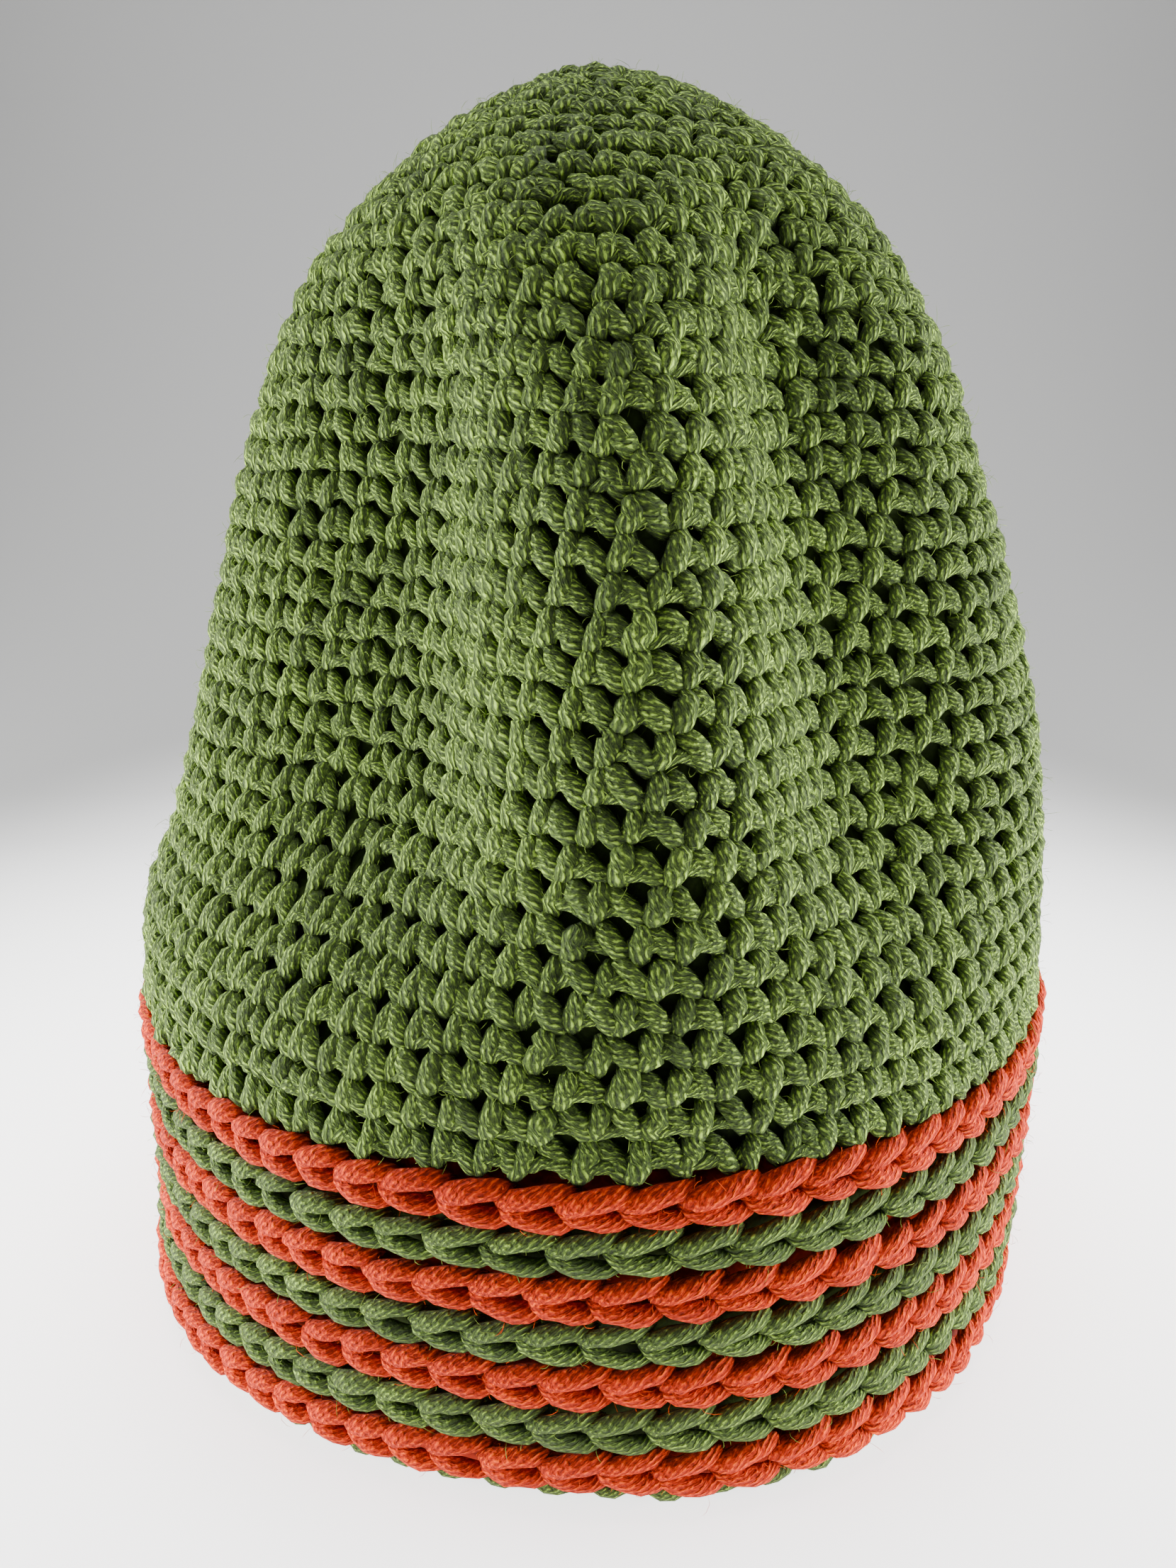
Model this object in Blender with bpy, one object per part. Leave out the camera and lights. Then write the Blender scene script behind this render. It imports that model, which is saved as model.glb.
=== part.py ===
# Crocheted beanie standing on its rim: a hollow domed crown in green yarn over a band of
# raised rounds in orange and green, with a narrow green hem below them.
# Metres, Z up. The origin is on the floor, under the middle of the whole. The front is -Y.

import math
from collections import namedtuple

import bmesh
import bpy
from mathutils import Matrix, Vector

# Outside of the band's plain wall, from the axis
BAND_REACH = 0.0812

# Fabric
BAND_WALL = 0.0042
CROWN_WALL = 0.0045
GAP = 0.0003

# Band: a hem, then raised rounds that follow one another up to the crown
HEM_HEIGHT = 0.0040
HEM_INSET = 0.0010
ROUND_PITCH = 0.0077
RIDGE_PROUD = 0.0032
STRIPES = ("orange", "green", "orange", "green", "orange", "green", "orange")

# Crown
CROWN_HEIGHT = 0.1490
CROWN_OVERHANG = 0.0012

# Faces around and up each piece
BAND_COLUMNS = 48
CROWN_COLUMNS = 72
CROWN_ROWS = 20

# The band's sections from the rim to the crown: height as a share of the band, the reach to
# each side as a share of BAND_REACH, how square the plan is, 2 being round, and how far it is
# turned towards the right, in degrees
BandSection = namedtuple("BandSection", "height right left front back square turn")
BAND_SECTIONS = (
    BandSection(0.00, 0.970, 1.000, 0.999, 0.990, 2.30, -14),
    BandSection(0.35, 0.975, 0.976, 1.001, 1.000, 2.20, -12),
    BandSection(1.00, 0.989, 0.996, 1.017, 1.000, 2.04, -6),
)

# A raised round's outline: how far out, as a share of RIDGE_PROUD, at a share of its height
Bulge = namedtuple("Bulge", "height out")
BULGES = (
    Bulge(0.00, 0.35),
    Bulge(0.24, 1.00),
    Bulge(0.76, 1.00),
    Bulge(1.00, 0.35),
)

# The crown's sections from its foot to its top: height as a share of CROWN_HEIGHT, and the
# reach to each side as a share of the crown's reach at its foot
Section = namedtuple("Section", "height right left front back")
SECTIONS = (
    Section(0.00, 1.006, 1.012, 1.000, 1.000),
    Section(0.10, 0.999, 0.996, 0.985, 0.990),
    Section(0.20, 0.987, 0.923, 0.955, 0.960),
    Section(0.30, 0.962, 0.872, 0.915, 0.915),
    Section(0.40, 0.916, 0.826, 0.870, 0.865),
    Section(0.50, 0.860, 0.779, 0.820, 0.815),
    Section(0.60, 0.795, 0.728, 0.765, 0.755),
    Section(0.70, 0.723, 0.661, 0.700, 0.685),
    Section(0.80, 0.618, 0.567, 0.605, 0.590),
    Section(0.88, 0.484, 0.432, 0.480, 0.465),
    Section(0.95, 0.302, 0.259, 0.295, 0.285),
    Section(0.99, 0.130, 0.098, 0.125, 0.120),
)

# The valleys between the crown's lobes, with angles in degrees: azimuth at half height, from
# the front towards the right, how far it leans from the foot to the top, the reach of each
# slope, depth as a share of the radius there, and the shares of the crown's height where a
# valley starts, is whole, begins to fade and ends
Valley = namedtuple("Valley", "azimuth lean left_slope right_slope depth start whole fading end")
VALLEYS = (
    Valley(32, -8, 27, 30, 0.165, 0.06, 0.34, 0.70, 0.98),
    Valley(-35, -8, 48, 42, 0.26, 0.04, 0.34, 0.56, 0.98),
    Valley(112, 0, 26, 26, 0.10, 0.20, 0.50, 0.75, 0.98),
    Valley(180, 0, 24, 24, 0.13, 0.18, 0.50, 0.75, 0.98),
    Valley(-108, 0, 26, 26, 0.10, 0.20, 0.50, 0.75, 0.98),
)

Yarn = namedtuple("Yarn", "name colour roughness")
GREEN_YARN = Yarn("green_yarn", (0.160, 0.215, 0.060), 0.9)
ORANGE_YARN = Yarn("orange_yarn", (0.640, 0.085, 0.025), 0.9)


def clear_scene():
    for thing in list(bpy.data.objects):
        bpy.data.objects.remove(thing, do_unlink=True)


def yarn_material(yarn):
    material = bpy.data.materials.new(yarn.name)
    material.use_nodes = True
    shader = material.node_tree.nodes["Principled BSDF"]
    shader.inputs["Base Color"].default_value = (*yarn.colour, 1.0)
    shader.inputs["Roughness"].default_value = yarn.roughness
    shader.inputs["Metallic"].default_value = 0.0
    material.diffuse_color = (*yarn.colour, 1.0)
    return material


def quarter_oval(azimuth, right, left, front, back, square=2.0):
    """Radius at an azimuth of a closed plan made of four quarter ovals."""
    across = math.sin(azimuth)
    along = math.cos(azimuth)
    side = right if across >= 0 else left
    end = front if along >= 0 else back
    reach = abs(across / side) ** square + abs(along / end) ** square
    return reach ** (-1.0 / square)


def band_height():
    return HEM_HEIGHT + len(STRIPES) * ROUND_PITCH


def band_radius(azimuth, height):
    """Radius of the band's wall at an azimuth and a height above the floor."""
    share = height / band_height()
    rows = BAND_SECTIONS
    index = 0 if share < rows[1].height else 1
    t = (share - rows[index].height) / (rows[index + 1].height - rows[index].height)
    right, left, front, back, square, turn = (
        low + (high - low) * t for low, high in zip(rows[index][1:], rows[index + 1][1:])
    )
    azimuth -= math.radians(turn)
    return BAND_REACH * quarter_oval(azimuth, right, left, front, back, square)


def plan_point(azimuth, radius, height):
    return Vector((radius * math.sin(azimuth), -radius * math.cos(azimuth), height))


def smooth_step(value):
    value = min(max(value, 0.0), 1.0)
    return value * value * (3.0 - 2.0 * value)


def valley_cut(azimuth, height):
    """Share of the radius that the valleys take away at a place on the crown."""
    cut = 0.0
    for valley in VALLEYS:
        turn = math.degrees(azimuth) - valley.azimuth - valley.lean * (height - 0.5)
        turn = (turn + 180.0) % 360.0 - 180.0
        slope = valley.right_slope if turn > 0 else valley.left_slope
        if abs(turn) >= slope:
            continue
        rise = smooth_step((height - valley.start) / (valley.whole - valley.start))
        fall = smooth_step((valley.end - height) / (valley.end - valley.fading))
        cut += valley.depth * rise * fall * 0.5 * (1.0 + math.cos(math.pi * turn / slope))
    return cut


def blend_rows(rows, place):
    """Smooth curve through a table's rows, place running from 0 to the last row's number."""
    last = len(rows) - 1
    index = min(int(place), last - 1)
    t = place - index
    before = rows[max(index - 1, 0)]
    start = rows[index]
    stop = rows[index + 1]
    after = rows[min(index + 2, last)]
    return [
        0.5 * (2 * b + (c - a) * t + (2 * a - 5 * b + 4 * c - d) * t ** 2
               + (3 * b - a - 3 * c + d) * t ** 3)
        for a, b, c, d in zip(before, start, stop, after)
    ]


def crown_foot():
    """Height of the crown's lower edge: the hem and the raised rounds stand below it."""
    return band_height() + GAP


def crown_point(azimuth, place):
    """A point of the crown's outside at a place between the sections."""
    height, right, left, front, back = blend_rows(SECTIONS, place)
    foot_radius = band_radius(azimuth, band_height()) + CROWN_OVERHANG
    radius = foot_radius * quarter_oval(azimuth, right, left, front, back)
    radius *= 1.0 - valley_cut(azimuth, height)
    return plan_point(azimuth, radius, crown_foot() + height * CROWN_HEIGHT)


def crown_normal(azimuth, place):
    nudge = 0.01
    across = crown_point(azimuth + nudge, place) - crown_point(azimuth - nudge, place)
    up = crown_point(azimuth, min(place + nudge, len(SECTIONS) - 1.0))
    up = up - crown_point(azimuth, max(place - nudge, 0.0))
    return across.cross(up).normalized()


def row_places():
    """Places between the sections that share the crown's side view into equal steps."""
    steps = 40
    fine = steps * (len(SECTIONS) - 1)
    places = [step / steps for step in range(fine + 1)]
    points = [crown_point(math.radians(90.0), place) for place in places]
    reach = [0.0]
    for near, far in zip(points, points[1:]):
        reach.append(reach[-1] + (far - near).length)
    rows = []
    for row in range(CROWN_ROWS + 1):
        target = reach[-1] * row / CROWN_ROWS
        rows.append(places[min(range(fine + 1), key=lambda k: abs(reach[k] - target))])
    return rows


def turned_skin(mesh, rings):
    """Adds rows of points and the faces between them, and returns the rows."""
    rows = [[mesh.verts.new(point) for point in ring] for ring in rings]
    for lower, upper in zip(rows, rows[1:]):
        for index in range(len(lower)):
            after = (index + 1) % len(lower)
            mesh.faces.new((lower[index], lower[after], upper[index]))
            mesh.faces.new((lower[after], upper[after], upper[index]))
    return rows


def close_row(mesh, row, point):
    """Fans a row of points to one point above it."""
    top = mesh.verts.new(point)
    for index in range(len(row)):
        mesh.faces.new((row[index], row[(index + 1) % len(row)], top))


def add_piece(name, mesh, material):
    bmesh.ops.recalc_face_normals(mesh, faces=mesh.faces)
    data = bpy.data.meshes.new(name)
    mesh.to_mesh(data)
    mesh.free()
    data.materials.append(material)
    data.shade_smooth()
    data.set_sharp_from_angle(angle=math.radians(50.0))
    piece = bpy.data.objects.new(name, data)
    bpy.context.scene.collection.objects.link(piece)
    return piece


def turns(columns):
    return [2.0 * math.pi * step / columns for step in range(columns)]


def ring_piece(name, outline, material):
    """Closed ring swept round the band from an outline of (out, height) points."""
    mesh = bmesh.new()
    middle = 0.5 * (outline[0][1] + outline[-1][1])
    rings = [
        [plan_point(azimuth, band_radius(azimuth, middle) + out, height)
         for azimuth in turns(BAND_COLUMNS)]
        for out, height in outline
    ]
    rows = turned_skin(mesh, rings)
    first, last = rows[0], rows[-1]
    for index in range(len(first)):
        after = (index + 1) % len(first)
        mesh.faces.new((last[index], last[after], first[after], first[index]))
    return add_piece(name, mesh, material)


def hem_round(material):
    """Lowest round, set in a little, with the flat foot that the hat stands on."""
    outline = (
        (-HEM_INSET - BAND_WALL, 0.0),
        (-HEM_INSET, 0.0),
        (-HEM_INSET, HEM_HEIGHT),
        (-HEM_INSET - BAND_WALL, HEM_HEIGHT),
    )
    return ring_piece("hem_round", outline, material)


def raised_round(name, number, material):
    """One round of the band, counted up from the hem, with its ridge on the outside."""
    foot = HEM_HEIGHT + number * ROUND_PITCH + GAP
    height = ROUND_PITCH - GAP
    outline = [(-BAND_WALL, foot)]
    for bulge in BULGES:
        outline.append((RIDGE_PROUD * bulge.out, foot + height * bulge.height))
    outline.append((-BAND_WALL, foot + height))
    return ring_piece(name, outline, material)


def crown(material):
    """Hollow dome: an outer skin with its lobes and an inner skin one wall inside it."""
    mesh = bmesh.new()
    places = row_places()
    azimuths = turns(CROWN_COLUMNS)
    outer = [[crown_point(azimuth, place) for azimuth in azimuths] for place in places]
    inner = [
        [crown_point(azimuth, place) - CROWN_WALL * crown_normal(azimuth, place)
         for azimuth in azimuths]
        for place in places
    ]
    for point in inner[0]:
        point.z = crown_foot()
    outer_rows = turned_skin(mesh, outer)
    inner_rows = turned_skin(mesh, inner)
    top = crown_foot() + CROWN_HEIGHT
    close_row(mesh, outer_rows[-1], (0.0, 0.0, top))
    close_row(mesh, inner_rows[-1], (0.0, 0.0, top - CROWN_WALL))
    turned = zip(outer_rows[0], outer_rows[0][1:] + outer_rows[0][:1],
                 inner_rows[0][1:] + inner_rows[0][:1], inner_rows[0])
    for corners in turned:
        mesh.faces.new(corners)
    return add_piece("crown", mesh, material)


def centre_pieces():
    """Moves all the pieces together so that the whole stands over the origin."""
    meshes = [piece.data for piece in bpy.data.objects]
    points = [vertex.co for mesh in meshes for vertex in mesh.vertices]
    across = 0.5 * (min(point.x for point in points) + max(point.x for point in points))
    along = 0.5 * (min(point.y for point in points) + max(point.y for point in points))
    for mesh in meshes:
        mesh.transform(Matrix.Translation((-across, -along, 0.0)))


def build():
    clear_scene()
    green = yarn_material(GREEN_YARN)
    orange = yarn_material(ORANGE_YARN)
    materials = {"green": green, "orange": orange}
    hem_round(green)
    for number, colour in enumerate(STRIPES):
        level = (len(STRIPES) - number + 1) // 2
        raised_round(f"{colour}_round_{level}", number, materials[colour])
    crown(green)
    centre_pieces()


build()
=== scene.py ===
"""Yarn looks for the crocheted beanie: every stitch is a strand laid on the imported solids."""

import math
from collections import namedtuple

import bmesh
import bpy
import numpy as np
from bpy.props import (
    FloatProperty,
    FloatVectorProperty,
    IntProperty,
    PointerProperty,
)
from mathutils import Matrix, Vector


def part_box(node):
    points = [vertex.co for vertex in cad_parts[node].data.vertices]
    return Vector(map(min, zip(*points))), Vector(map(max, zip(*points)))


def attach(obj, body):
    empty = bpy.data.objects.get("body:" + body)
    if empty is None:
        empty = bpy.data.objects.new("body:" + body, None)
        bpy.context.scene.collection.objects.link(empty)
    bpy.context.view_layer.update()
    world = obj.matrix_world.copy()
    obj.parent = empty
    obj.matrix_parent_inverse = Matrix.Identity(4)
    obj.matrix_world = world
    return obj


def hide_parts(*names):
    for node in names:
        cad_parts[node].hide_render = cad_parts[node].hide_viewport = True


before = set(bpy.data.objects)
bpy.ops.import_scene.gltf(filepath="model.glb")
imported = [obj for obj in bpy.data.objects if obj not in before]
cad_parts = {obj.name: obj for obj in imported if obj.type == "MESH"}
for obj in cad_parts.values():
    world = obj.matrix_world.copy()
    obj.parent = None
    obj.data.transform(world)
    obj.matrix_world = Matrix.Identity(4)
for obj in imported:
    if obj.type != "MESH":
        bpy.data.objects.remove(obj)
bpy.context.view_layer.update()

bl_info = {
    "name": "Crocheted Beanie",
    "version": (1, 0, 0),
    "blender": (4, 5, 0),
    "location": "3D View > Sidebar > Beanie",
    "description": "Lays yarn stitches on the crown and band of a crocheted beanie",
    "category": "Object",
}

MILLIMETRE = 0.001
FULL_TURN = 2.0 * math.pi

# The raised rounds from the hem up. The solids are numbered from the top down.
STRIPES = (
    "orange_round_4",
    "green_round_3",
    "orange_round_3",
    "green_round_2",
    "orange_round_2",
    "green_round_1",
    "orange_round_1",
)

# Sizes that the solids give
HEM_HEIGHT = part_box("hem_round")[1].z
BAND_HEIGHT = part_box("orange_round_1")[1].z
ROUND_PITCH = (BAND_HEIGHT - HEM_HEIGHT) / len(STRIPES)
CROWN_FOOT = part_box("crown")[0].z
CROWN_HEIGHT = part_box("crown")[1].z - CROWN_FOOT

# Sizes as in the source of the solids: the outside of the band's plain wall from the axis, its
# thickness, and how far the crown stands out of it and the hem in
BAND_REACH = 0.0812
BAND_WALL = 0.0042
CROWN_OVERHANG = 0.0012
HEM_INSET = 0.0010

# The band's sections from the rim to the crown: height as a share of the band, the reach to
# each side as a share of BAND_REACH, how square the plan is, 2 being round, and how far it is
# turned towards the right, in degrees
BandSection = namedtuple("BandSection", "height right left front back square turn")
BAND_SECTIONS = (
    BandSection(0.00, 0.970, 1.000, 0.999, 0.990, 2.30, -14),
    BandSection(0.35, 0.975, 0.976, 1.001, 1.000, 2.20, -12),
    BandSection(1.00, 0.989, 0.996, 1.017, 1.000, 2.04, -6),
)

# The crown's sections from its foot to its top, which the last one all but closes: height as a
# share of the crown's height, and the reach to each side as a share of that at its foot
Section = namedtuple("Section", "height right left front back")
SECTIONS = (
    Section(0.00, 1.006, 1.012, 1.000, 1.000),
    Section(0.10, 0.999, 0.996, 0.985, 0.990),
    Section(0.20, 0.987, 0.923, 0.955, 0.960),
    Section(0.30, 0.962, 0.872, 0.915, 0.915),
    Section(0.40, 0.916, 0.826, 0.870, 0.865),
    Section(0.50, 0.860, 0.779, 0.820, 0.815),
    Section(0.60, 0.795, 0.728, 0.765, 0.755),
    Section(0.70, 0.723, 0.661, 0.700, 0.685),
    Section(0.80, 0.618, 0.567, 0.605, 0.590),
    Section(0.88, 0.484, 0.432, 0.480, 0.465),
    Section(0.95, 0.302, 0.259, 0.295, 0.285),
    Section(0.99, 0.130, 0.098, 0.125, 0.120),
    Section(1.00, 0.010, 0.010, 0.010, 0.010),
)
LAST_PLACE = len(SECTIONS) - 1

# The valleys between the crown's lobes, with angles in degrees: azimuth at half height, from
# the front towards the right, how far it leans from the foot to the top, the reach of each
# slope, depth as a share of the radius there, and the shares of the crown's height where a
# valley starts, is whole, begins to fade and ends
Valley = namedtuple("Valley", "azimuth lean left_slope right_slope depth start whole fading end")
VALLEYS = (
    Valley(32, -8, 27, 30, 0.165, 0.06, 0.34, 0.70, 0.98),
    Valley(-35, -8, 48, 42, 0.26, 0.04, 0.34, 0.56, 0.98),
    Valley(112, 0, 26, 26, 0.10, 0.20, 0.50, 0.75, 0.98),
    Valley(180, 0, 24, 24, 0.13, 0.18, 0.50, 0.75, 0.98),
    Valley(-108, 0, 26, 26, 0.10, 0.20, 0.50, 0.75, 0.98),
)

# A strand's route through its stitch: how far along in stitches, how far up in rows, and how
# far out of the solid's outside in millimetres
Knot = namedtuple("Knot", "along up out")

# How a strand is drawn: its half width and half thickness in millimetres, and the sides and
# lengths of its mesh
Strand = namedtuple("Strand", "route half_width half_depth sides lengths")

# How far each row of the crown starts to the right of the row below it, in stitches
STITCH_LEAN = 0.27

# The two arms of a crown stitch, spread like a V, the fat one over the thin one
FAT_ARM = Strand((
    Knot(-0.05, -0.24, -2.4),
    Knot(0.07, 0.10, -1.3),
    Knot(0.21, 0.46, -0.65),
    Knot(0.28, 0.82, -1.00),
    Knot(STITCH_LEAN + 0.04, 1.14, -2.3),
), 1.72, 1.35, 8, 7)
THIN_ARM = Strand((
    Knot(0.05, -0.24, -2.4),
    Knot(-0.14, 0.10, -1.4),
    Knot(-0.30, 0.44, -0.80),
    Knot(-0.50, 0.78, -1.05),
    Knot(STITCH_LEAN - 0.96, 1.12, -2.3),
), 1.62, 1.25, 7, 6)

# The loop that arches over the hole between two stitches
ARCH = Strand((
    Knot(-1.10, -0.02, -2.1),
    Knot(-0.84, 0.26, -1.15),
    Knot(-0.52, 0.40, -0.85),
    Knot(-0.20, 0.26, -1.15),
    Knot(0.08, -0.04, -2.1),
), 1.20, 1.15, 6, 5)

# The bump that each stitch makes inside the crown
BACK_BUMP = Strand((
    Knot(-0.08, 0.36, -2.9),
    Knot(0.18, 0.50, -3.4),
    Knot(0.50, 0.56, -3.6),
    Knot(0.82, 0.50, -3.4),
    Knot(1.08, 0.36, -2.9),
), 1.60, 0.95, 6, 4)

# The loops that close the crown: along is a share of the way round between two loops, and up
# is the share of the way from the last row to the top
CLOSING_LOOP = Strand((
    Knot(0.00, -0.50, -2.2),
    Knot(0.10, 0.15, -0.9),
    Knot(0.20, 0.60, -0.2),
    Knot(0.30, 0.95, 0.1),
), 1.55, 1.35, 8, 6)
CLOSING_LOOPS = 6

# The loops that cross over the top: half length, height at the middle and how far the ends drop
# from that, in millimetres, and the ways that they lie, in degrees
TopLoops = namedtuple("TopLoops", "half_length height drop ways")
TOP_LOOPS = TopLoops(2.6, 0.5, 2.2, (25.0, 115.0))

# The band's chain: each link's closed tip is to the left, and its two legs open to the right
# and hold the next link's tip between them. Up is in rounds from the middle of the round.
UPPER_LEG = Strand((
    Knot(-0.06, -0.06, 0.8),
    Knot(0.02, 0.05, 1.95),
    Knot(0.26, 0.16, 2.60),
    Knot(0.62, 0.26, 2.60),
    Knot(0.98, 0.30, 1.95),
    Knot(1.28, 0.25, 0.4),
), 1.72, 1.35, 8, 8)
LOWER_LEG = Strand((
    Knot(-0.04, 0.06, 0.7),
    Knot(0.04, -0.06, 1.80),
    Knot(0.28, -0.17, 2.45),
    Knot(0.62, -0.26, 2.50),
    Knot(0.98, -0.30, 1.85),
    Knot(1.28, -0.25, 0.4),
), 1.66, 1.35, 8, 8)

# The bump that each link makes inside the band, and each loop of the hem
INNER_BUMP = Strand((
    Knot(-0.08, -0.10, -2.6),
    Knot(0.18, 0.04, -3.1),
    Knot(0.50, 0.10, -3.2),
    Knot(0.82, 0.04, -3.1),
    Knot(1.08, -0.10, -2.6),
), 1.90, 0.95, 6, 4)
HEM_LOOP = Strand((
    Knot(-0.10, 0.55, -2.2),
    Knot(0.12, 0.20, -0.9),
    Knot(0.45, -0.04, -0.3),
    Knot(0.80, 0.16, -0.8),
    Knot(1.08, 0.55, -2.2),
), 1.35, 1.25, 8, 7)

# Stretches of the crown's rows that are pieces of their own, and the share of the rows where
# each ends
CROWN_STRETCHES = {"foot": 0.21, "low": 0.43, "middle": 0.67, "high": 1.00}

# How thick and how light each colour's rounds are beside the links' own size and tone
RoundYarn = namedtuple("RoundYarn", "fullness tone")
ROUND_YARNS = {"orange": RoundYarn(1.04, 1.0), "green": RoundYarn(0.94, 0.81)}
HEM_YARN = RoundYarn(1.0, 0.94)

# How far the crown's foot row comes out to rest on the band, in millimetres, and over how much
# of the row
FOOT_FILL = 1.3
FOOT_FADE = 0.5

# How much the yarn's thickness changes along it, as a share, and how blunt a strand's ends are,
# 2 being oval
LUMPINESS = 0.07
BLUNTNESS = 2.6

# How unevenly the band's links lie, along and up as shares of a link and of the round's height
# and out in millimetres, and the shares by which their thickness and tone differ
LinkStray = namedtuple("LinkStray", "along up out fullness tone")
LINK_STRAY = LinkStray(0.05, 0.03, 0.10, 0.06, 0.08)

# The same for the crown's stitches, each as a multiple of their unevenness. A strand strays as a
# whole, and each ring of it a little more.
StitchStray = namedtuple("StitchStray", "ring out fullness tone")
STITCH_STRAY = StitchStray(0.4, 2.0, 1.2, 1.6)

# How far a chain link's middle stands out of the band's plain wall, in millimetres
LINK_CREST = 1.6

# A round dips before its join and steps up past it: how far round these fade, in radians, and
# the dip as a share of the step
SEAM_DIP_FADE = 0.20
SEAM_STEP_FADE = 0.45
SEAM_DIP = 0.6

# Loose fibres: how far they stand off the yarn and stray sideways and how deep they root, all in
# millimetres, and the share of the yarn's full tone above which they grow
FIBRE_REACH = (0.2, 2.0)
FIBRE_STRAY = (0.5, 2.4)
FIBRE_ROOT = 0.2
FIBRE_TONE = 0.80
FIBRE = Strand((), 0.035, 0.035, 3, 3)

# A fibre's route past its root, as shares of its reach, its stray and its stray the other way
FibreKnot = namedtuple("FibreKnot", "rise aside bend")
FIBRE_ROUTE = (
    FibreKnot(0.6, 0.35, 0.0),
    FibreKnot(0.9, 0.70, 0.25),
    FibreKnot(1.0, 1.0, 0.6),
)

# Painted shade: tones, 1 being yarn on the fabric's face, of the skin under the stitches and of
# the deepest yarn, which are painted darker the deeper they lie. Where that and the face lie is
# in millimetres out of the solid's outside.
SHELL_SHADED_TONE = 0.40
DEEPEST_SHADED_TONE = 0.64
DEEPEST_OUT = -2.6
FACE_OUT = 0.2

# The skin under the crown's stitches: its two sides from the solid's outside, and its faces
SHELL_OUTSIDE = -0.0026
SHELL_INSIDE = -0.0032
SHELL_ROWS = 40
SHELL_COLUMNS = 144

# The plain core of a raised round, from the band's plain wall inwards and outwards
CORE_INSIDE = 0.0030
CORE_OUTSIDE = -0.0002
CORE_COLUMNS = 96

# How far the hem's core stays clear of the floor and of the solid's inside and outside
HEM_CORE_LIFT = 0.0004
HEM_CORE_INSIDE = 0.0006
HEM_CORE_OUTSIDE = 0.0010

# The yarn's plies: ridges round a strand, and their spacing along it in millimetres
PLY_RIDGES = 9
PLY_SPACING_MM = 1.30

# The fabric is stretched over the front lobe's crest: where that is, and how far to either side
# the crown's stitches and the band's links are wider
FRONT_CREST = math.radians(4.0)
CREST_WIDTH = math.radians(14.0)
BAND_CREST_WIDTH = math.radians(30.0)
CREST_FULLNESS = 0.06

# Shares of the crown's height where the crest's stretch fades, where the strips come and go, and
# where the upper rows draw in
CREST_FADE = (0.55, 0.92)
STRIPS_COME = (0.10, 0.35)
STRIPS_GO = (0.95, 0.75)
UPPER_ROWS = (0.50, 0.85)

# How much narrower and how much more uneven the stitches of the upper rows are
UPPER_NARROWING = 0.14
UPPER_UNEVENNESS = 0.6

# Strips up the crown where the stitches close up, beside the front lobe, or open, over the
# side lobes: azimuth at half height, how far the strip leans and its half width, all in
# degrees, and the closeness, which is below 0 where the stitches open
Strip = namedtuple("Strip", "azimuth lean reach closeness")
STITCH_STRIPS = (
    Strip(22, -8, 6, 1.1),
    Strip(-15, -8, 6.5, 0.9),
    Strip(48, -8, 24, -0.55),
    Strip(-39, -8, 17, -0.6),
)

# What a closeness of 1 does: how much narrower and shallower the stitches are, and how much
# fuller their yarn
CLOSE_NARROWING = 0.32
CLOSE_LEVELLING = 0.68
CLOSE_FULLNESS = 0.20

# Even steps round the hat, from the back through the front to the back
EVEN_TURNS = np.linspace(-math.pi, math.pi, 721)

# Turns at which the crown's side is measured, in degrees, on its lobes and not in its valleys
PROFILE_TURNS = (-60, 0, 75, 145, -145)

# Steps over which the way that a surface faces is read: round it in radians, up the crown in
# places, and up the band in metres
TURN_NUDGE = 0.004
PLACE_NUDGE = 0.03
HEIGHT_NUDGE = 0.0005

# The stage's sheet: its ends in front, behind and above, its half width, the radius of its bend
# and the steps round that
SHEET_FRONT = -1.2
SHEET_BACK = 0.55
SHEET_TOP = 1.6
SHEET_HALF_WIDTH = 1.6
SHEET_BEND = 0.35
BEND_STEPS = 12

# The painted pool of light round the hat, where the sheet is paler and glows, with painted shade
# beyond it: where it starts to fade, over how far, and the sheet's glow inside and outside it
POOL_REACH = 0.10
POOL_FADE = 0.25
POOL_GLOW = 2.4
SHEET_GLOW = 0.10

# What the lights face, and the strength of the light from all round
LIGHT_TARGET = Vector((0.0, 0.0, 0.06))
ROOM_LIGHT = 0.08


def colour_property(name, description, default):
    return FloatVectorProperty(
        name=name, description=description, default=default, subtype="COLOR", min=0.0, max=1.0
    )


class CrownSettings(bpy.types.PropertyGroup):
    stitch_pitch: FloatProperty(
        name="Stitch Pitch", description="Width of one relaxed crown stitch",
        default=0.0055, min=0.003, subtype="DISTANCE",
    )
    row_pitch: FloatProperty(
        name="Row Pitch", description="Height of one row of crown stitches",
        default=0.0051, min=0.003, subtype="DISTANCE",
    )
    unevenness: FloatProperty(
        name="Unevenness", description="How far stitches stray from their even places",
        default=0.065, min=0.0, max=0.5, subtype="FACTOR",
    )
    front_stretch: FloatProperty(
        name="Front Stretch", description="How much wider the stitches are at the front",
        default=0.36, min=0.0, max=1.5, subtype="FACTOR",
    )


class BandSettings(bpy.types.PropertyGroup):
    links: IntProperty(
        name="Links", description="Chain links in each raised round",
        default=80, min=12,
    )
    front_stretch: FloatProperty(
        name="Front Stretch", description="How much longer the links are at the front",
        default=0.36, min=0.0, max=1.0, subtype="FACTOR",
    )
    seam_azimuth: FloatProperty(
        name="Seam Azimuth", description="Where each round joins, from the front to the right",
        default=math.radians(84.0), subtype="ANGLE",
    )
    seam_jog: FloatProperty(
        name="Seam Jog", description="How far a round steps up past its join",
        default=0.0022, min=0.0, subtype="DISTANCE",
    )


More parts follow.
